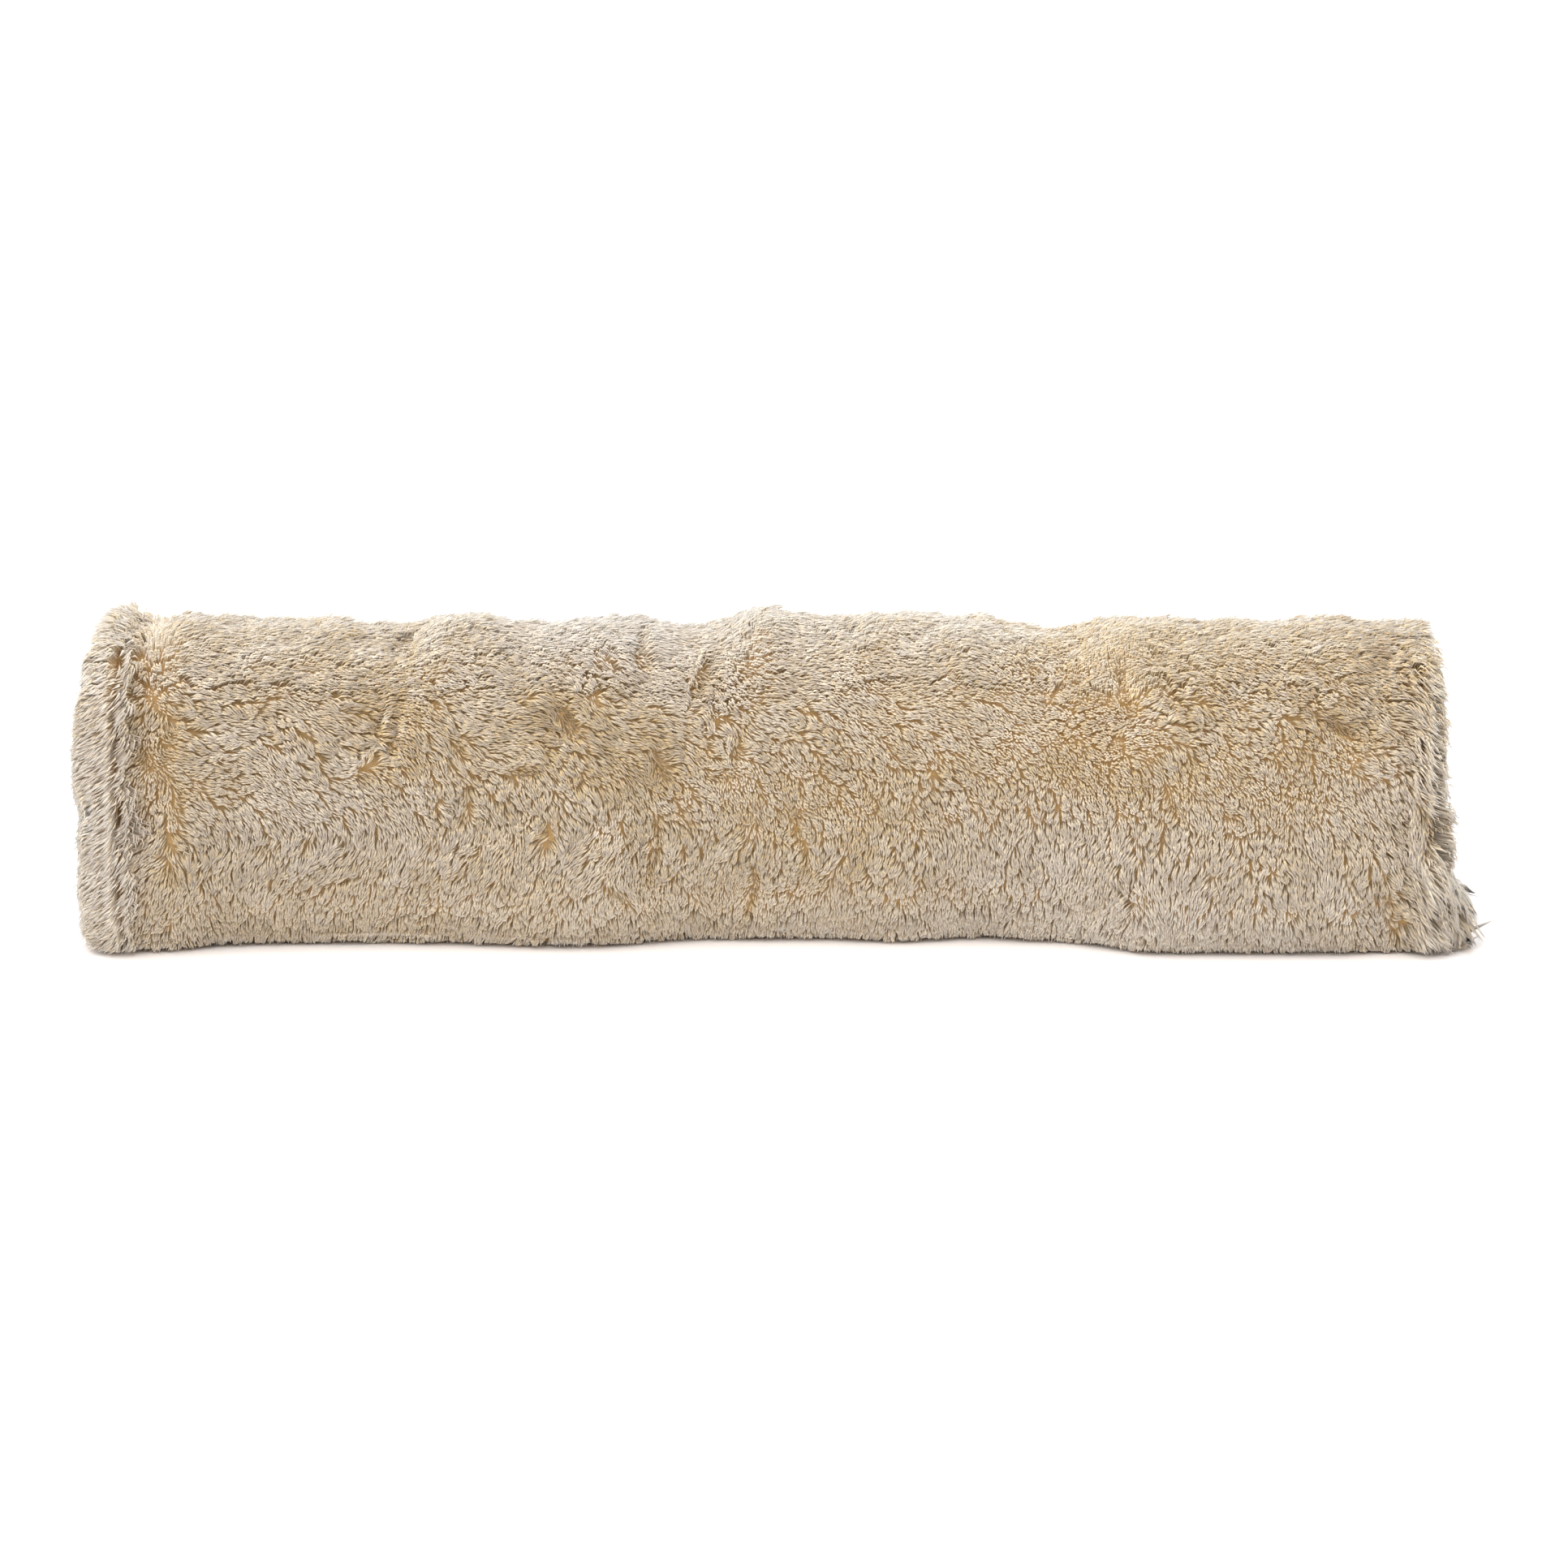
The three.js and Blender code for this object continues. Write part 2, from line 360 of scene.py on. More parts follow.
def throw_points(mesh):
    """Random points on a mesh, with their normals."""
    mesh.calc_loop_triangles()
    corners = np.empty(len(mesh.loop_triangles) * 3, np.int32)
    mesh.loop_triangles.foreach_get("vertices", corners)
    corners = corners.reshape(-1, 3)
    points, normals = points_of(mesh), points_of(mesh, "normal")
    a, b, c = (points[corners[:, i]] for i in range(3))
    areas = np.linalg.norm(np.cross(b - a, c - a), axis=1) / 2
    count = int(THROWS_PER_STRAND * areas.sum() / STRAND_SPACING**2)
    chosen = dice.choice(len(areas), count, p=areas / areas.sum())
    u, v = dice.random(count), dice.random(count)
    fold = u + v > 1
    u[fold], v[fold] = 1 - u[fold], 1 - v[fold]
    shares = np.stack([1 - u - v, u, v], axis=1)[:, :, None]
    places = (points[corners[chosen]] * shares).sum(axis=1)
    return places, unit((normals[corners[chosen]] * shares).sum(axis=1))


print("spacing of the strands in mm:", round(STRAND_SPACING / MM, 2))


# %% Keep points that are well spaced
def tree_of(places):
    tree = kdtree.KDTree(len(places))
    for i, place in enumerate(places):
        tree.insert(place, i)
    tree.balance()
    return tree


def well_spaced(places, spacing):
    """Picks points in turn, and drops the ones that are nearer to a picked one than its spacing."""
    tree = tree_of(places)
    free = np.ones(len(places), bool)
    kept = []
    for i, place in enumerate(places):
        if free[i]:
            kept.append(i)
            for _, j, _ in tree.find_range(place, spacing[i]):
                free[j] = False
    return kept


pair = np.array([[0, 0, 0], [STRAND_SPACING / 2, 0, 0]])
print("kept of two points at half the spacing:", len(well_spaced(pair, [STRAND_SPACING] * len(pair))))

# %% [markdown]
# The back, which stands against a door, gets a wider spacing to save triangles. The underside and the walls
# inside a seam get no wool.

# %% Scatter the roots
BACK_SPACING = 1.9 * MM
LOWEST_NORMAL = -0.88
DEEPEST_IN_SEAM = 0.8
Roots = namedtuple("Roots", "place normal")


def scatter_roots(mesh, node):
    places, normals = throw_points(mesh)
    in_seam = facing_seam(places, normals, node)
    shown = (normals[:, 2] > LOWEST_NORMAL) & (np.abs(in_seam) < DEEPEST_IN_SEAM)
    places, normals = places[shown], normals[shown]
    normals[:, 0] -= in_seam[shown]
    normals = unit(normals)
    hidden = np.clip(normals[:, 1], 0, 1)
    kept = well_spaced(places, STRAND_SPACING + (BACK_SPACING - STRAND_SPACING) * hidden)
    return Roots(places[kept], normals[kept])


roots = {node: scatter_roots(skin.data, node) for node, skin in skins.items()}
print("strands of wool:", {node: len(r.place) for node, r in roots.items()})

# %% [markdown]
# ## Which way the wool lies
#
# Brushing and handling leave wool lying in streams. In the photograph it streams right and a little down
# along the crown, stands up in the middle, and falls down and left over the belly. At the right end it runs
# out past the seam. It could be combed by hand, but a table can be read and changed: it gives the heading,
# in degrees, that the tips take at places along the tube and round it. 0 is to the right and -90 down the
# front. The leans say how far the wool lies down. The back, which nobody sees, is combed down.

# %% The lie of the wool
Lay = namedtuple("Lay", "x foot belly middle shoulder crown")
LAYS = [
    Lay(-420, -95, -60, -25, -12, -5),
    Lay(-330, -110, -130, -30, -15, -8),
    Lay(-240, -108, -128, -45, -22, -12),
    Lay(-150, -108, -118, -70, -28, -18),
    Lay(-60, -115, -108, -60, -28, -22),
    Lay(40, -108, -102, -70, -32, -25),
    Lay(130, -98, -95, -65, -32, -22),
    Lay(230, -90, -88, -62, -30, -18),
    Lay(305, -92, -98, -90, -34, -18),
    Lay(350, -82, -84, -72, -36, -15),
    Lay(420, -55, -58, -45, -30, -10),
]
TURNS = {"foot": -42, "belly": -14, "middle": 12, "shoulder": 42, "crown": 82}
LEANS = {"foot": 0.3, "belly": 0.7, "middle": 0.55, "shoulder": 0.75, "crown": 0.85}
BACK_TURNS = [130, 180, 225]
BACK_HEADINGS = [0, 55, 80]
BACK_LEANS = [0.8, 0.8, 0.7]
print("places in the table:", len(LAYS) * len(TURNS))

# %% [markdown]
# A place on the tube is told by how far along and how far round it is. Between the places of the table the
# values run over smoothly. Waves over the skin make the streams wander, as brushed wool does.

# %% Read a table at a place
WAIST_HEIGHT = 84 * MM
HALF_SIZE = (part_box("tube")[1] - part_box("tube")[0]) / 2
Wave = namedtuple("Wave", "mm degrees shift")


def turn_of(places):
    """Degrees round the tube: 0 is the front, 90 the crown, 180 the back."""
    up = (places[:, 2] - WAIST_HEIGHT) / HALF_SIZE.z
    turn = np.degrees(np.arctan2(up, -places[:, 1] / HALF_SIZE.y))
    return np.where(turn < -90, turn + 360, turn)


def between(turns, columns, at):
    """Reads each point's own row of columns at its turn."""
    found = columns[0].astype(float)
    for i in range(len(turns) - 1):
        share = np.clip((at - turns[i]) / (turns[i + 1] - turns[i]), 0, 1)
        found = found + (columns[i + 1] - columns[i]) * share * share * (3 - 2 * share)
    return found


def wave(x, turn, row):
    """A wave over the skin. A row says how far along and round make one radian of it."""
    return np.sin(x / row.mm + turn / row.degrees + row.shift)


print("roots lie from", [round(f(turn_of(roots["tube"].place))) for f in (np.min, np.max)], "degrees round")

# %% [markdown]
# In four places the wool is curly. It stands up more there, so that one sees its tips as grains, and in
# one of them it turns in a whorl.

# %% Curls and a whorl
Curls = namedtuple("Curls", "x z wide high spin")
CURLS = [
    Curls(195, 165, 42, 26, 0.6),
    Curls(150, 130, 120, 40, 0),
    Curls(10, 105, 90, 45, 0),
    Curls(320, 125, 70, 40, 0),
]


def offsets(places, row):
    """How far places are from the middle of a patch, to the right and up, in shares of its size."""
    return (places[:, 0] / MM - row.x) / row.wide, (places[:, 2] / MM - row.z) / row.high


def curled(places):
    """How curly the wool is, from 0 to 1."""
    straight = np.ones(len(places))
    for row in CURLS:
        dx, dz = offsets(places, row)
        straight *= 1 - np.exp(-(dx**2 + dz**2))
    return 1 - straight


def spin(places):
    """What the flow gains round the middle of a whorl."""
    gain = np.zeros((len(places), 3))
    for row in CURLS:
        dx, dz = offsets(places, row)
        strength = 2 * row.spin * np.exp(-(dx**2) - dz**2)
        gain += np.stack([-dz, np.zeros(len(places)), dx], axis=1) * strength[:, None]
    return gain


print("mean curliness on the tube:", round(float(curled(roots["tube"].place).mean()), 2))

# %% [markdown]
# Near a seam the wool of both skins falls the same way, out over the end and down, so that it covers the
# seam.

# %% Fall over the seams, and wander
OVER_SEAM = {"left": (-0.7, -0.25, -0.6), "right": (0.55, -0.3, -0.8)}
OVER_PANEL = {"left": (-0.8, -0.2, -0.4), "right": (0.6, -0.3, -0.7)}
SEAM_TURNS_MM = (3, 30)
BROAD_WANDER = 14
BROAD_WAVES = (Wave(23, 17, 0), Wave(41, -29, 1))
FINE_WANDER = 9
FINE_WAVE = Wave(13, -11, 0)


def along_skin(flow, normals):
    return unit(flow - normals * (normals * flow).sum(axis=1, keepdims=True))


def over_seam(x):
    """1 near a seam, where the wool of both skins falls the same way, and 0 some way off."""
    return np.interp(np.abs(HALF_SIZE.x / MM - np.abs(x)), SEAM_TURNS_MM, (1, 0))[:, None]


def wander(x, turn):
    """By how many degrees the streams leave the table's headings."""
    first, second = (wave(x, turn, row) for row in BROAD_WAVES)
    return BROAD_WANDER * first * second + FINE_WANDER * wave(x, turn, FINE_WAVE)


print("streams wander by at most", BROAD_WANDER + FINE_WANDER, "degrees")

# %% [markdown]
# Each root gets a direction along its skin, the flow, and a lean. On the tube both come from the table. A
# panel is small, and its wool falls one way all over.

# %% Lay the wool
PANEL_LEAN = 0.8
CURL_UPRIGHT = 0.45


def tube_lay(places, normals):
    x, turn = places[:, 0] / MM, turn_of(places)
    stations = [lay.x for lay in LAYS]
    headings = [np.interp(x, stations, [getattr(lay, name) for lay in LAYS]) for name in TURNS]
    headings += [np.full(len(x), heading) for heading in BACK_HEADINGS]
    leans = [np.full(len(x), lean) for lean in list(LEANS.values()) + BACK_LEANS]
    turns = list(TURNS.values()) + BACK_TURNS
    heading = np.radians(between(turns, headings, turn) + wander(x, turn))[:, None]
    right = unit(np.array([1.0, 0, 0]) - normals * normals[:, :1])
    up = np.cross(normals, right)
    flow = right * np.cos(heading) + up * np.sin(heading)
    over = np.where(x[:, None] < 0, OVER_SEAM["left"], OVER_SEAM["right"])
    flow += (along_skin(over, normals) - flow) * over_seam(x)
    upright = 1 - CURL_UPRIGHT * curled(places)
    lean = between(turns, leans, turn) * upright * np.linalg.norm(flow, axis=1)
    return unit(flow + spin(places)), lean


def panel_lay(places, normals, side):
    seam, panel = np.array(OVER_SEAM[side]), np.array(OVER_PANEL[side])
    flow = panel + (seam - panel) * over_seam(places[:, 0] / MM)
    return along_skin(flow, normals), np.full(len(places), PANEL_LEAN)


lays = {f"end_panel_{side}": panel_lay(*roots[f"end_panel_{side}"], side) for side in SEAMS}
lays["tube"] = tube_lay(*roots["tube"])
print("mean lean on the tube:", round(float(lays["tube"][1].mean()), 2))

# %% [markdown]
# ## Partings
#
# Where streams of wool turn away from each other, the pile opens and the darker depth shows. These are the
# marks by which one knows this very piece, so the larger ones are placed one by one. Each row is a short,
# crooked line on the front: where its middle is, how long it is, how it slants, how wide it opens and how
# deep. Wool beside it turns away from it, and wool on it stands lower.

# %% Table of the partings
Parting = namedtuple("Parting", "x z length slant width depth")
PARTINGS = [
    Parting(-384, 142, 34, -95, 8, 0.6),
    Parting(-379, 106, 30, -84, 7, 0.5),
    Parting(-382, 70, 36, -92, 8, 0.6),
    Parting(-395, 130, 18, -65, 7, 0.6),
    Parting(-246, 142, 44, -100, 9, 0.6),
    Parting(-258, 118, 24, -150, 7, 0.5),
    Parting(-134, 150, 28, -55, 6, 0.8),
    Parting(-77, 72, 44, -98, 4.5, 0.8),
    Parting(-14, 42, 42, -97, 4.5, 0.8),
    Parting(15, 76, 38, -80, 5, 0.8),
    Parting(-103, 40, 26, -60, 5, 0.7),
    Parting(-146, 78, 18, -95, 5, 0.7),
    Parting(-241, 184, 18, -10, 5, 0.6),
    Parting(-200, 135, 16, -60, 5, 0.6),
    Parting(-196, 99, 24, -95, 5, 0.6),
    Parting(-163, 118, 28, -160, 5, 0.7),
    Parting(-321, 73, 16, -170, 5, 0.5),
    Parting(-294, 75, 14, -120, 5, 0.5),
    Parting(-87, 184, 16, -70, 5, 0.5),
    Parting(-74, 124, 24, -60, 6, 0.7),
    Parting(-50, 168, 24, -110, 5, 0.6),
    Parting(-25, 133, 28, -90, 5, 0.7),
    Parting(-35, 115, 26, -10, 5, 0.6),
    Parting(38, 198, 28, -25, 5, 0.5),
    Parting(220, 165, 20, -60, 5, 0.6),
    Parting(248, 105, 22, -80, 5, 0.6),
    Parting(285, 95, 18, -30, 5, 0.5),
    Parting(352, 148, 28, -20, 7, 0.7),
    Parting(408, 84, 44, -76, 5, 0.7),
    Parting(388, 32, 44, -70, 6, 0.6),
]
print("partings:", len(PARTINGS))

# %% Open the partings
TURN_AWAY = 2.2
CROOKED_MM = 2
CROOKED_EVERY_MM = 7
BLUNT_ENDS = 4
NARROW_FLOOR = 5


def open_partings(places, flow):
    """The flow, turned away from each parting, and the share of its height that the wool keeps."""
    flow, keep = flow.copy(), np.ones(len(places))
    front = places[:, 1] < 0
    for row in PARTINGS:
        slant = math.radians(row.slant)
        line, across = (math.cos(slant), math.sin(slant)), (-math.sin(slant), math.cos(slant))
        dx, dz = places[:, 0] / MM - row.x, places[:, 2] / MM - row.z
        way = dx * line[0] + dz * line[1]
        on_line = np.exp(-((2 * way / row.length) ** BLUNT_ENDS))
        crooked = CROOKED_MM * np.sin(way / CROOKED_EVERY_MM + row.x)
        beside = (dx * across[0] + dz * across[1] + crooked) / row.width
        pull = front * on_line * np.exp(-(beside**2))
        keep *= 1 - row.depth * pull * np.exp(-NARROW_FLOOR * beside**2)
        push = (TURN_AWAY * pull * beside)[:, None]
        flow += push * np.array([across[0], 0, across[1]])
    return unit(flow), keep


parted = open_partings(roots["tube"].place, lays["tube"][0])[1]
print("mean share of its height that the tube's wool keeps:", round(float(parted.mean()), 3))

# %% [markdown]
# ## Longer wool
#
# Some wool escaped the shears. It is longer at the flared corner on the right, where it spreads over the
# floor in spikes, and along the upper corners of both ends.

# %% Longer wool
LongWool = namedtuple("LongWool", "x z radius extra")
LONG_WOOL = [
    LongWool(432, 18, 34, 1.0),
    LongWool(408, 192, 30, 0.35),
    LongWool(-415, 188, 26, 0.5),
]


def extra_length(places):
    longer = np.ones(len(places))
    for row in LONG_WOOL:
        far = np.hypot(places[:, 0] / MM - row.x, places[:, 2] / MM - row.z) / row.radius
        longer += row.extra * np.exp(-(far**2))
    return longer


print("most extra length:", max(row.extra for row in LONG_WOOL))

# %% [markdown]
# ## Tints
#
# Natural wool isn't one colour. Ochre shows in some places, and others are greyer, paler or deeper. The
# table places the patches that the photograph shows on the front. Each has a size, how far it leans to
# ochre, or to grey where that is negative, and how much lighter it is than the rest. The back takes the
# same patches. The two long bands along the foot are painted light: they make the lowest wool lighter
# against the shade that falls there.

# %% Tint patches
Patch = namedtuple("Patch", "x z wide high ochre light")
PATCHES = [
    Patch(240, 182, 70, 26, 0.8, -0.4),
    Patch(216, 120, 80, 22, 0.7, -0.2),
    Patch(372, 190, 50, 24, 0.4, -0.9),
    Patch(349, 148, 34, 18, 0.5, -0.9),
    Patch(388, 112, 28, 42, -0.2, 0.3),
    Patch(-243, 143, 24, 30, 0.6, -0.9),
    Patch(-136, 150, 34, 18, 0.6, -0.9),
    Patch(-90, 122, 45, 22, 0.6, -0.7),
    Patch(-386, 130, 16, 30, 0.3, -0.4),
    Patch(-380, 75, 14, 30, 0.2, -0.2),
    Patch(-320, 204, 90, 18, 0.3, -0.5),
    Patch(40, 80, 70, 35, 0.4, -0.1),
    Patch(90, 160, 90, 35, 0.3, 0.3),
    Patch(-112, 190, 60, 24, -0.6, 0.3),
    Patch(60, 198, 110, 22, 0.0, 0.2),
    Patch(-430, 90, 30, 80, -0.6, 0.0),
    Patch(-290, 90, 60, 35, -0.5, -0.1),
    Patch(165, 70, 70, 50, -0.2, 0.3),
    Patch(300, 40, 160, 40, -0.3, 0.1),
    # Painted light: these two long bands lighten the wool along the foot, against the shade there.
    Patch(-150, 22, 220, 20, 0.4, 0.8),
    Patch(220, 18, 190, 18, 0.0, 0.6),
]


def tint_at(places, what):
    tint = np.zeros(len(places))
    for row in PATCHES:
        dx, dz = offsets(places, row)
        tint += getattr(row, what) * np.exp(-(dx**2 + dz**2))
    return tint


print("tint patches:", len(PATCHES))

# %% [markdown]
# ## How high the wool stands
#
# The solid's surface is where the tips end. A ray from each root, straight away from the skin, measures the
# room that the wool has to rise.


# %% Measure the room for the wool
def room_above(places, normals, node):
    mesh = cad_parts[node].data
    faces = [tuple(face.vertices) for face in mesh.polygons]
    tree = bvhtree.BVHTree.FromPolygons([tuple(p) for p in points_of(mesh)], faces)
    height = np.full(len(places), PILE_DEPTH)
    for i, (place, normal) in enumerate(zip(places, normals)):
        hit, _, _, distance = tree.ray_cast(Vector(place), Vector(normal), 2 * PILE_DEPTH)
        if hit is not None:
            height[i] = distance
    return height


rooms = {node: room_above(*roots[node], node) for node in skins}
for node, room in rooms.items():
    print(node, "room in mm, low, mid and high:", (np.percentile(room, (5, 50, 95)) / MM).round(1))

# %% [markdown]
# ## Strands and tufts
#
# Hair particles would draw this wool well, but they are no mesh and couldn't leave Blender. Instead each
# strand is a slim three-sided spindle. Real fibres are far finer than one could build, so a strand stands
# for a wisp of them.
#
# Wool grease makes neighbouring wisps hang together: their tips meet in tufts about as wide as a grain of
# rice, and the tufts lean together in loose locks. So roots are grouped twice, round well-spaced centres,
# and each tip is drawn some way to the tip of its centre. Wisps gather less on the smooth crown, at the
# seams and on the left end, and more in some patches and in the long wool, which ends in spikes.

# %% Gather roots in tufts and locks
Grouping = namedtuple("Grouping", "spacing pull")
TUFTS = Grouping(4.6 * MM, 0.36)
LOCKS = Grouping(17 * MM, 0.14)
GATHERED = 0.85
GATHERED_ON_LEFT_PANEL = 0.3
GATHERED_IN_PATCHES = 0.3
GATHERED_IN_SPIKES = 1.1
PATCH_WAVES = (Wave(19, 23, 2), Wave(31, -15, 0))
SMALL_PATCH_SHARE = 0.5
SMALL_PATCH_WAVE = Wave(9, 8, 0)
LOOSE_ON_CROWN = 0.4
CROWN_TURN, CROWN_WIDTH = 75, 28
LOOSE_AT_SEAM = 0.6


def tuftedness(places, node):
    """How far wisps gather in tufts: 1 is as far as the pull of the groups says."""
    if node == "end_panel_left":
        return np.full(len(places), GATHERED_ON_LEFT_PANEL)
    x, turn = places[:, 0] / MM, turn_of(places)
    first, second = (wave(x, turn, row) for row in PATCH_WAVES)
    patches = first * second + SMALL_PATCH_SHARE * wave(x, turn, SMALL_PATCH_WAVE)
    spikes = extra_length(places) - 1
    crown = np.exp(-(((turn - CROWN_TURN) / CROWN_WIDTH) ** 2))
    gathered = GATHERED + GATHERED_IN_PATCHES * patches + GATHERED_IN_SPIKES * spikes
    return (gathered - LOOSE_ON_CROWN * crown) * (1 - LOOSE_AT_SEAM * near_seam(places))


def nearest_centre(places, spacing):
    """The number of the centre that each place belongs to."""
    centres = np.array(well_spaced(places, np.full(len(places), spacing)))
    tree = tree_of(places[centres])
    return centres[[tree.find(place)[1] for place in places]]


print("mean tuftedness of the tube:", round(float(tuftedness(roots["tube"].place, "tube").mean()), 2))

# %% [markdown]
# No two tufts or strands are quite alike in height, length or heading. Some strands are stray hairs: thinner,
# a little higher, and hardly held by their tuft, which makes the outline downy. All strands are worked out at
# once as arrays.

# %% Make the tips uneven
Uneven = namedtuple("Uneven", "rise reach heading")
UNEVEN_TUFTS = Uneven(0.09, 0.16, 0.28)
UNEVEN_STRANDS = Uneven(0.06, 0.12, 0.15)
STRAY_RISE = 0.25


def uneven_tips(places, normals, flow, reach, rise, tufted, stray, tufts):
    by_tuft, by_strand = (dice.standard_normal((len(Uneven._fields), len(places))) for _ in range(2))
    uneven = [
        tufted * between_tufts * by_tuft[i][tufts] + between_strands * by_strand[i]
        for i, (between_tufts, between_strands) in enumerate(zip(UNEVEN_TUFTS, UNEVEN_STRANDS))
    ]
    rise = rise * (1 + uneven[0] + STRAY_RISE * stray)
    reach = reach * (1 + uneven[1])
    heading = flow + np.cross(normals, flow) * uneven[2][:, None]
    return places + normals * rise[:, None] + heading * reach[:, None]


print("tufts differ in height, length and heading by about", tuple(UNEVEN_TUFTS))

# %% [markdown]
# A strand leaves the skin steeply, bends over into the stream and ends bluntly, as clipped wool does. At the
# foot a strand that would go through the floor is cut short, at a height that differs from tuft to tuft, so
# that the wool's lower edge is ragged.

# %% Shape the strands
STRAY_HOLD = 0.2
FLOOR_CLEARANCE = 0.4 * MM
RAGGED_FOOT = 2 * MM
SHORTEST = 0.3
BEND = 0.62
STEEP_START = 2.2
LATE_TURN = 1.5


def kept_off_floor(places, tips, tufts):
    """The way from each root to its tip, cut short where it would go through the floor."""
    drop = np.maximum(places[:, 2] - tips[:, 2], TINY)
    room_below = places[:, 2] - FLOOR_CLEARANCE - RAGGED_FOOT * dice.random(len(places))[tufts]
    return (tips - places) * np.clip(room_below / drop, SHORTEST, 1)[:, None]


def strand_points(places, normals, flow, reach, rise, tufted, stray):
    """Root, bend and tip of every strand, with the numbers of its tuft's and its lock's centre."""
    tufts = nearest_centre(places, TUFTS.spacing)
    locks = nearest_centre(places, LOCKS.spacing)
    tips = uneven_tips(places, normals, flow, reach, rise, tufted, stray, tufts)
    held = np.where(stray, STRAY_HOLD, tufted)[:, None]
    tips = tips + held * (TUFTS.pull * (tips[tufts] - tips) + LOCKS.pull * (tips[locks] - tips))
    drift = kept_off_floor(places, tips, tufts)
    straight = normals * (drift * normals).sum(axis=1, keepdims=True)
    up_to_bend = straight * (1 - (1 - BEND) ** STEEP_START)
    bends = places + up_to_bend + (drift - straight) * BEND**LATE_TURN
    return np.stack([places, bends, places + drift], axis=1), tufts, locks


print("a strand bends at", BEND, "of its length and keeps off the floor by", FLOOR_CLEARANCE / MM, "mm")

# %% [markdown]
# A spindle has a root point, a ring of three points at its bend and a tip: five points and six triangles.
# Laid flat for the UV map, the three sides stand side by side.
#
# A tuft of real wool is so fine that it takes the light as one soft thing. To shade so, the points of the
# spindles borrow a good share of the skin's normal.

# %% The faces of a spindle
SIDES = 3
TIP = 1 + SIDES
SPINDLE_POINTS = 2 + SIDES


def spindle_faces():
    faces, maps = [], []
    for i in range(SIDES):
        j = (i + 1) % SIDES
        left, right, middle = i / SIDES, (i + 1) / SIDES, (i + 0.5) / SIDES
        faces += [(0, 1 + j, 1 + i), (1 + i, 1 + j, TIP)]
        maps += [((middle, 0), (right, BEND), (left, BEND)), ((left, BEND), (right, BEND), (middle, 1))]
    return np.array(faces), np.array(maps)


SPINDLE, SPINDLE_MAP = spindle_faces()
print("triangles in a strand:", len(SPINDLE))

# %% Turn strands into spindles
STRAND_RADIUS = 0.7 * MM
UNEVEN_THICKNESS = 0.18
STRAY_THICKNESS = 0.4
FLATNESS = 0.75
SKIN_NORMAL_SHARE = 0.7


def spindles(points, normals, stray):
    """The points of every strand's spindle, wider across the stream than it is thick, and their normals."""
    along = unit(points[:, 2] - points[:, 1])
    across = unit(np.cross(along, normals))
    thick = np.cross(along, across)
    radius = STRAND_RADIUS * (1 + UNEVEN_THICKNESS * dice.standard_normal(len(points)))
    radius[stray] *= STRAY_THICKNESS
    phase = 2 * np.pi * dice.random(len(points))
    verts = np.empty((len(points), SPINDLE_POINTS, 3))
    verts[:, 0], verts[:, TIP] = points[:, 0], points[:, 2]
    facing = np.empty_like(verts)
    facing[:, 0], facing[:, TIP] = -along, along
    for i in range(SIDES):
        angle = phase + 2 * np.pi * i / SIDES
        off = across * np.cos(angle)[:, None] + thick * (FLATNESS * np.sin(angle))[:, None]
        verts[:, 1 + i] = points[:, 1] + off * radius[:, None]
        facing[:, 1 + i] = unit(off)
    verts[:, :, 2] = np.maximum(verts[:, :, 2], FLOOR_CLEARANCE)
    facing += SKIN_NORMAL_SHARE * (normals[:, None] - facing)
    return verts, facing


print("a strand is", round(2 * STRAND_RADIUS / MM, 1), "mm wide")

# %% [markdown]
# ## Growing the wool
#
# Each strand gets two numbers for its colour. How light it is differs from tuft to tuft, from lock to lock
# and a little from strand to strand. It follows the tint patches. It is low in the partings, partly as
# painted shade for their deeper shadow and partly because the wool is darker in its depth there. Beside the
# seams it is raised, as painted light against the shadow of the seam. Ochre follows the patches too, and dark
# wool is warmer, because it is less bleached. Each tuft takes up a patch more or less than its neighbours, so
# that no patch has a clean edge.

# %% Number the colours
# Painted light: the wool beside a seam is made lighter, which lifts the shadow in the seam's crevice.
SEAM_PAINTED_LIGHT = 0.3
# Partly painted shade: strands in a parting are darker, for the deeper shadow there as well as for wool that
# is darker in its depth.
PARTING_PAINTED_SHADE = 1.4
LightShares = namedtuple("LightShares", "tuft strand lock")
LIGHT_SHARES = LightShares(0.68, 0.15, 0.6)
PATCHINESS = 1.2
WARM_SHADE = 0.6
MOST_OCHRE = 0.7


def colour_numbers(place, keep, tufts, locks):
    """How light and how ochre each strand is."""
    shares = dice.random(len(place)) - 0.5
    patchy = 1 - PATCHINESS * shares[tufts]
    light = LIGHT_SHARES.tuft * shares[tufts] + LIGHT_SHARES.strand * shares
    light += LIGHT_SHARES.lock * shares[locks]
    # Painted shade in the partings, and painted light beside the seams.
    light += patchy * tint_at(place, "light") - PARTING_PAINTED_SHADE * (1 - keep) + SEAM_PAINTED_LIGHT * near_seam(place)
    ochre = patchy * tint_at(place, "ochre") - WARM_SHADE * light
    return light, np.clip(ochre, -MOST_OCHRE, MOST_OCHRE)


print("how far light differs between tufts, strands and locks:", tuple(LIGHT_SHARES))

# %% [markdown]
# Now each skin's roots get their strands. Beside a seam the wool of both skins rises more, and the tube's
# wool also reaches farther, so that it lies over the seam and closes it. It does so fully in front, and
# only a little on top and behind, where it would stand out too far.

# %% Grow the wool of a skin
PILE_LENGTH = 10.5 * MM
STRAY_SHARE = 0.15
SEAM_CLOSING = 1.0
SEAM_SHARPNESS = 1.5
SEAM_OVERLAP = 0.9
CLOSING_ON_TOP = 0.25


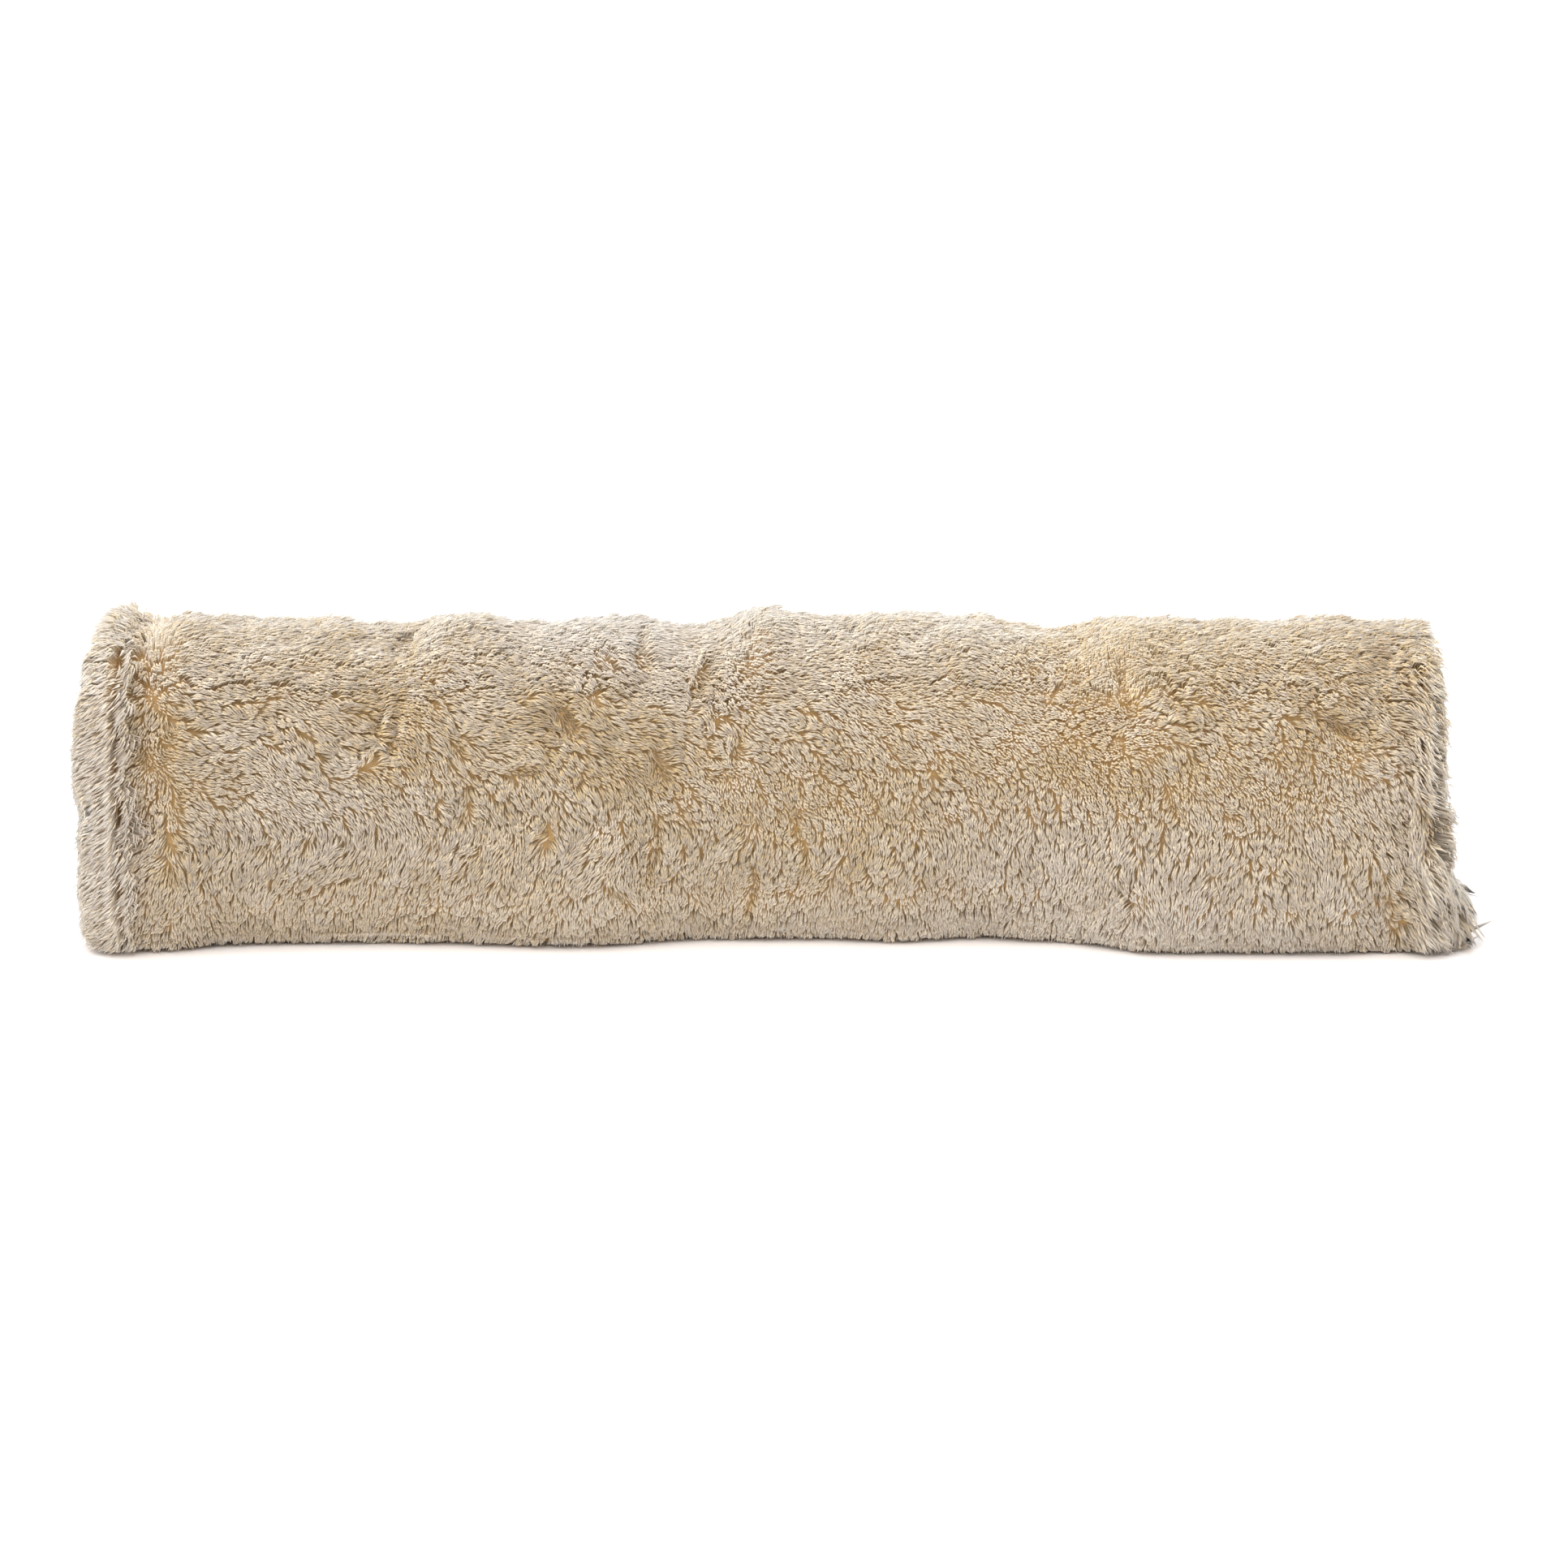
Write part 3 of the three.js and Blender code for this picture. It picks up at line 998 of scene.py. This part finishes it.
def grow(node):
    """The spindles of a skin's wool, with their normals and colour numbers."""
    place, normal = roots[node]
    flow, lean = lays[node]
    flow, keep = open_partings(place, flow)
    seam = near_seam(place)
    closing = CLOSING_ON_TOP + (1 - CLOSING_ON_TOP) * np.clip(-normal[:, 1], 0, 1)
    reach = PILE_LENGTH * lean * extra_length(place)
    if node == "tube":
        reach *= 1 + SEAM_OVERLAP * seam * closing
    rise = rooms[node] * keep * (1 + SEAM_CLOSING * seam**SEAM_SHARPNESS * closing)
    stray = dice.random(len(place)) < STRAY_SHARE
    tufted = tuftedness(place, node)
    points, tufts, locks = strand_points(place, normal, flow, reach, rise, tufted, stray)
    light, ochre = colour_numbers(place, keep, tufts, locks)
    return *spindles(points, normal, stray), light, ochre


tube_wool = grow("tube")
print("highest wool on the tube in mm:", round(float(tube_wool[0][:, :, 2].max()) / MM, 1))

# %% [markdown]
# Each strand's points carry three numbers for the material: how far along the strand they are, how light the
# strand is, and how ochre. Each strand also gets its own small square of a UV map, in which the material
# draws fibres.

# %% Numbers and map of a wool piece
MAP_COLUMNS = 140
MAP_MARGIN = 0.08


def set_point_numbers(mesh, count, light, ochre):
    along = np.array([0.0] + [BEND] * SIDES + [1.0])
    per_point = {
        "along": np.tile(along, count),
        "light": np.repeat(light, SPINDLE_POINTS),
        "ochre": np.repeat(ochre, SPINDLE_POINTS),
    }
    for key, values in per_point.items():
        mesh.attributes.new(key, "FLOAT", "POINT").data.foreach_set("value", values.astype(np.float32))


def set_map(mesh, count):
    cell = np.stack([np.arange(count) % MAP_COLUMNS, np.arange(count) // MAP_COLUMNS], axis=1)
    in_cell = MAP_MARGIN + (1 - 2 * MAP_MARGIN) * SPINDLE_MAP[None]
    corner = (cell[:, None, None, :] + in_cell) / MAP_COLUMNS
    mesh.uv_layers.new(name="OFBake").data.foreach_set("uv", corner.astype(np.float32).ravel())


print("strands that fit on a map:", MAP_COLUMNS**2)

# %% [markdown]
# A mesh of that many strands is filled from arrays in one go. The tube's wool could be cut into lengths, but
# the cuts might show. It is dealt out instead, like cards, into seven layers that lie through each other over
# the whole length. Each layer is small enough for one map.


# %% Make the wool pieces
def wool_piece(name, verts, facing, light, ochre):
    count = len(verts)
    faces = (SPINDLE[None] + SPINDLE_POINTS * np.arange(count)[:, None, None]).reshape(-1, 3)
    mesh = bpy.data.meshes.new(name)
    mesh.vertices.add(count * SPINDLE_POINTS)
    mesh.vertices.foreach_set("co", verts.astype(np.float32).ravel())
    mesh.loops.add(faces.size)
    mesh.loops.foreach_set("vertex_index", faces.astype(np.int32).ravel())
    mesh.polygons.add(len(faces))
    mesh.polygons.foreach_set("loop_start", np.arange(0, faces.size, 3, dtype=np.int32))
    mesh.polygons.foreach_set("use_smooth", np.ones(len(faces), bool))
    mesh.update(calc_edges=True)
    mesh.normals_split_custom_set_from_vertices(unit(facing.reshape(-1, 3)))
    set_point_numbers(mesh, count, light, ochre)
    set_map(mesh, count)
    piece = bpy.data.objects.new(name, mesh)
    scene.collection.objects.link(piece)
    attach(piece, "root")
    print(name, "strands:", count, "triangles:", len(faces))
    return piece


TUBE_LAYERS = 7
wool = []
for layer in range(TUBE_LAYERS):
    dealt = [values[layer::TUBE_LAYERS] for values in tube_wool]
    wool.append(wool_piece(f"tube_wool_{layer + 1}", *dealt))
for node, name in (("end_panel_left", "end_wool_left"), ("end_panel_right", "end_wool_right")):
    wool.append(wool_piece(name, *grow(node)))

# %% [markdown]
# ## The wool's finish
#
# Clipped sheepskin wool is cream at its tips, where light has bleached it, and ochre to brown in its depth.
# It has no gloss but a soft sheen at a glancing angle, as all fine fibres have. A hair shader would need
# hair, so this is a plain surface with some light let in below it. The colour runs from root to tip, with a
# little difference from tuft to tuft.

# %% Colour from root to tip
ROOT_COLOUR, ROOT_ENDS = "#c79e69", 0.1
MID_COLOUR, MIDDLE = "#ecc79c", 0.6
TIP_COLOUR = "#f9dcc0"


def root_to_tip(material):
    along = add_node(material, "ShaderNodeAttribute", attribute_name="along")
    length = add_node(material, "ShaderNodeValToRGB", {"Fac": along.outputs["Fac"]})
    root, tip = length.color_ramp.elements
    root.position = ROOT_ENDS
    root.color = linear(ROOT_COLOUR)
    tip.color = linear(TIP_COLOUR)
    length.color_ramp.elements.new(MIDDLE).color = linear(MID_COLOUR)
    return length.outputs["Color"]


print("the tips in linear values:", [round(c, 3) for c in linear(TIP_COLOUR)])

# %% [markdown]
# Fine lines along each strand stand for its fibres. A real one is a few hundredths of a millimetre thick,
# too fine to show, so they are drawn as coarse as they need to be.

# %% Fibres
FIBRES_ROUND_STRAND = 7
CHANGES_ALONG_STRAND = 1.3


def fibre_streaks(material):
    # The noise is stretched along the strand, in its own square of the map.
    cell = add_node(material, "ShaderNodeUVMap", uv_map="OFBake")
    lines = (FIBRES_ROUND_STRAND * MAP_COLUMNS, CHANGES_ALONG_STRAND * MAP_COLUMNS, 1)
    stretch = add_node(material, "ShaderNodeMapping", {"Vector": cell.outputs["UV"], "Scale": lines})
    fibres = add_node(
        material,
        "ShaderNodeTexNoise",
        {"Vector": stretch.outputs["Vector"], "Scale": 1.0, "Detail": 1.0},
    )
    streak = add_node(
        material,
        "ShaderNodeMapRange",
        {"Value": fibres.outputs["Fac"], "From Min": 0.3, "From Max": 0.7, "To Min": 0.9, "To Max": 1.05},
    )
    return streak.outputs["Result"]


drawn_fibre = 2 * np.pi * STRAND_RADIUS / FIBRES_ROUND_STRAND
print("a fibre is drawn about", round(drawn_fibre / MM, 1), "mm wide")

# %% [markdown]
# The strand's two numbers make the colour lighter or darker, and fuller or greyer. The surface is rough and
# hardly reflects, and it has the sheen of fibres that stick out.

# %% The wool's material
LIGHT_DEPTH = 3 * MM


def clipped_sheepskin_wool():
    # Sheep's wool on the tanned skin, clipped with shears: matt and soft, pale at the tips and warm below.
    # Light goes a few millimetres into it, which takes the edge off its shadows.
    material = new_material("clipped_sheepskin_wool")
    light = add_node(material, "ShaderNodeAttribute", attribute_name="light")
    shade = add_node(
        material,
        "ShaderNodeMapRange",
        {"Value": light.outputs["Fac"], "From Min": -0.5, "From Max": 0.5, "To Min": 0.87, "To Max": 1.11},
        clamp=False,
    )
    ochre = add_node(material, "ShaderNodeAttribute", attribute_name="ochre")
    warmth = add_node(
        material,
        "ShaderNodeMapRange",
        {"Value": ochre.outputs["Fac"], "From Min": -1.0, "From Max": 1.0, "To Min": 0.75, "To Max": 1.25},
        clamp=False,
    )
    value = add_node(
        material,
        "ShaderNodeMath",
        {0: fibre_streaks(material), 1: shade.outputs["Result"]},
        operation="MULTIPLY",
    )
    tone = add_node(
        material,
        "ShaderNodeHueSaturation",
        {
            "Color": root_to_tip(material),
            "Saturation": warmth.outputs["Result"],
            "Value": value.outputs["Value"],
        },
    )
    fibre = add_node(
        material,
        "ShaderNodeBsdfPrincipled",
        {
            "Base Color": tone.outputs["Color"],
            "Roughness": 0.85,
            "Specular IOR Level": 0.15,
            "Subsurface Weight": 0.8,
            "Subsurface Radius": (1.0, 1.0, 1.0),
            "Subsurface Scale": LIGHT_DEPTH,
            "Sheen Weight": 0.2,
            "Sheen Roughness": 0.5,
        },
    )
    add_node(material, "ShaderNodeOutputMaterial", {"Surface": fibre.outputs["BSDF"]})
    return material


wool_finish = clipped_sheepskin_wool()
for piece in wool:
    piece.data.materials.append(wool_finish)
print("pieces finished in", wool_finish.name, len(wool))

# %% [markdown]
# Close to the skin the finest wool is matted, and keeps its grease and its ochre. It shows only where the
# pile opens, so a plain surface is enough, with patches as wide as a tuft and a little bump.

# %% The underwool's material
MAT_BUMP = 2 * MM


def matted_underwool():
    # Underwool, matted close to the skin: ochre, dull and uneven at the width of a tuft.
    material = new_material("matted_underwool")
    place = add_node(material, "ShaderNodeTexCoord")
    noise = add_node(
        material,
        "ShaderNodeTexNoise",
        {"Vector": place.outputs["Object"], "Scale": 1 / TUFTS.spacing, "Detail": 3.0},
    )
    tone = add_node(
        material,
        "ShaderNodeMix",
        {"Factor": noise.outputs["Fac"], "A": linear("#b08a54"), "B": linear("#cfae7e")},
        data_type="RGBA",
    )
    bump = add_node(material, "ShaderNodeBump", {"Height": noise.outputs["Fac"], "Distance": MAT_BUMP})
    mat = add_node(
        material,
        "ShaderNodeBsdfPrincipled",
        {
            "Base Color": tone.outputs["Result"],
            "Normal": bump.outputs["Normal"],
            "Roughness": 0.95,
            "Specular IOR Level": 0.1,
        },
    )
    add_node(material, "ShaderNodeOutputMaterial", {"Surface": mat.outputs["BSDF"]})
    return material


underwool = matted_underwool()
for skin in skins.values():
    skin.data.materials.append(underwool)
print("skins finished in", underwool.name, len(skins))
